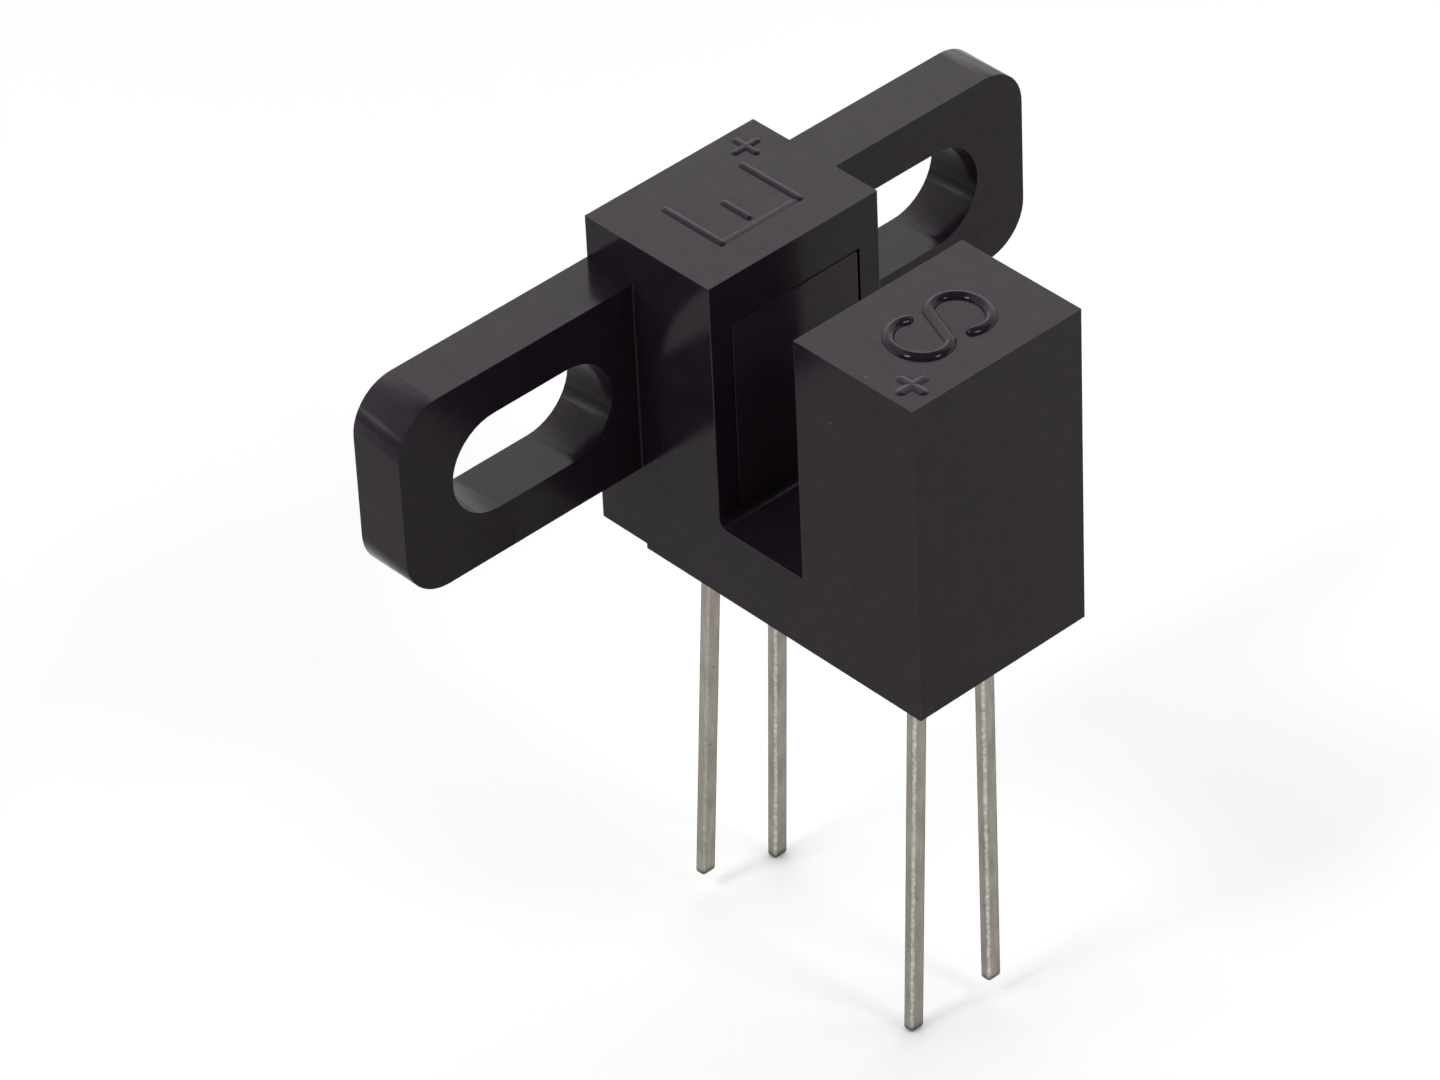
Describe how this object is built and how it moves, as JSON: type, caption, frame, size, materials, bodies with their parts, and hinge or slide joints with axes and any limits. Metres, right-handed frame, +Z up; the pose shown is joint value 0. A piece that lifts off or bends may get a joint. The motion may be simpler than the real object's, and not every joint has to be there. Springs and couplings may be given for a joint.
{
  "type": "slotted optical switch",
  "caption": "Slotted optical switch: a black moulded housing with emitter and sensor towers facing across a throat, a slotted screw flange at the back and flat solder leads below.",
  "frame": {"origin": "middle of the two flange slots, on the flange's back face", "axes": "+X from the flange's back face towards the sensor tower, +Y along the flange, +Z up, leads pointing down"},
  "size_m": [0.0128, 0.0236, 0.0245],
  "materials": {
    "housing_plastic": "black injection-moulded plastic, satin to semi-gloss",
    "shell_plastic": "dark infrared-passing plastic, glossy",
    "clear_epoxy": "clear cast epoxy",
    "black_epoxy": "black cast epoxy, dull",
    "tinned_lead": "tin-plated copper alloy, satin",
    "emitter_die": "polished die",
    "sensor_die": "polished silicon die",
    "gold_wire": "bright gold wire"
  },
  "bodies": {
    "root": {"housing": "housing_plastic", "emitter_shell": "shell_plastic", "sensor_shell": "shell_plastic", "emitter_encapsulant": "clear_epoxy", "sensor_encapsulant": "clear_epoxy", "emitter_seal": "black_epoxy", "sensor_seal": "black_epoxy", "emitter_anode_lead": "tinned_lead", "emitter_cathode_lead": "tinned_lead", "sensor_collector_lead": "tinned_lead", "sensor_emitter_lead": "tinned_lead", "emitter_chip": "emitter_die", "sensor_chip": "sensor_die", "emitter_bond_wire": "gold_wire", "sensor_bond_wire": "gold_wire"}
  },
  "joints": []
}
